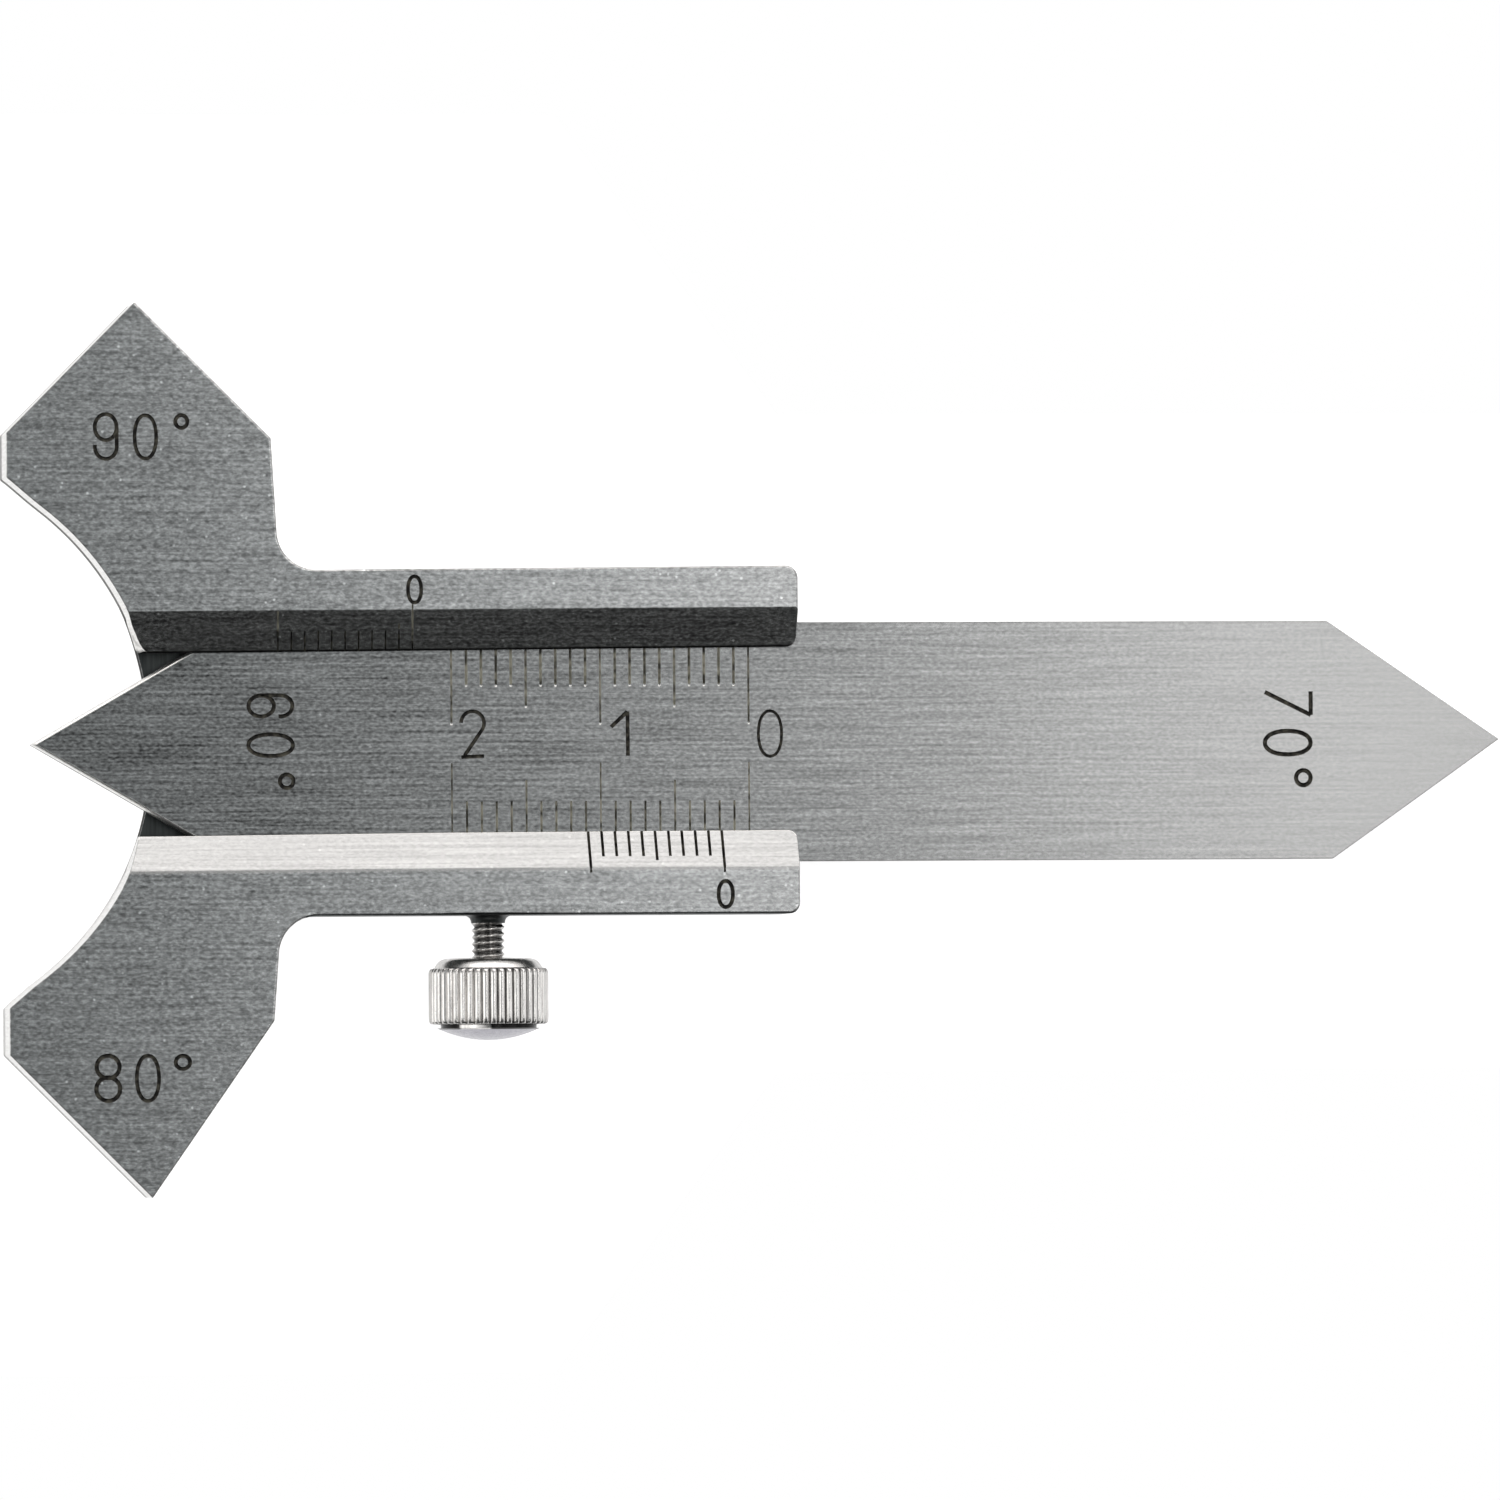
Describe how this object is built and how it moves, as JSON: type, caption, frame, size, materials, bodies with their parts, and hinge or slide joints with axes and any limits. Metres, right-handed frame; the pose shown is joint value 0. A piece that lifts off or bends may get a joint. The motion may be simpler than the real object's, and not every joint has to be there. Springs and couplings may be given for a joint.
{
  "type": "weld gauge",
  "caption": "Flat steel weld gauge: body with a 90 degree and an 80 degree head, sliding blade with 60 and 70 degree points, vernier scales and a knurled clamp screw.",
  "frame": {"origin": "on the flat back face, where the clamp screw's axis crosses the slide's axis", "axes": "+X along the slide away from the heads, +Y towards the 90 degree head, +Z out of the face with the scales"},
  "size_m": [0.1009, 0.0595, 0.0079],
  "materials": {
    "body_steel": "ground lengthwise, satin",
    "slide_steel": "ground lengthwise, satin",
    "screw_plating": "bright nickel plated, straight knurl",
    "pad_brass": "turned"
  },
  "bodies": {
    "body": {"gauge_body": "body_steel"},
    "slide": {"measuring_slide": "slide_steel"},
    "pad": {"thrust_pad": "pad_brass"},
    "screw": {"clamp_screw": "screw_plating"}
  },
  "joints": [
    {"name": "slide_travel", "type": "slide", "parent": "body", "child": "slide", "axis": [1, 0, 0], "range_m": [-0.0224, 0.0182]},
    {"name": "screw_travel", "type": "slide", "parent": "body", "child": "pad", "axis": [0, -1, 0], "range_m": [0, 0.0009]},
    {"name": "screw_turn", "type": "hinge", "parent": "pad", "child": "screw", "pos_m": [0, -0.0115, 0.00245], "axis": [0, -1, 0], "range_deg": [0, 720]}
  ],
  "couplings": [
    {"joint": "screw_turn", "follows": "screw_travel", "rad_per_m": 13963}
  ]
}
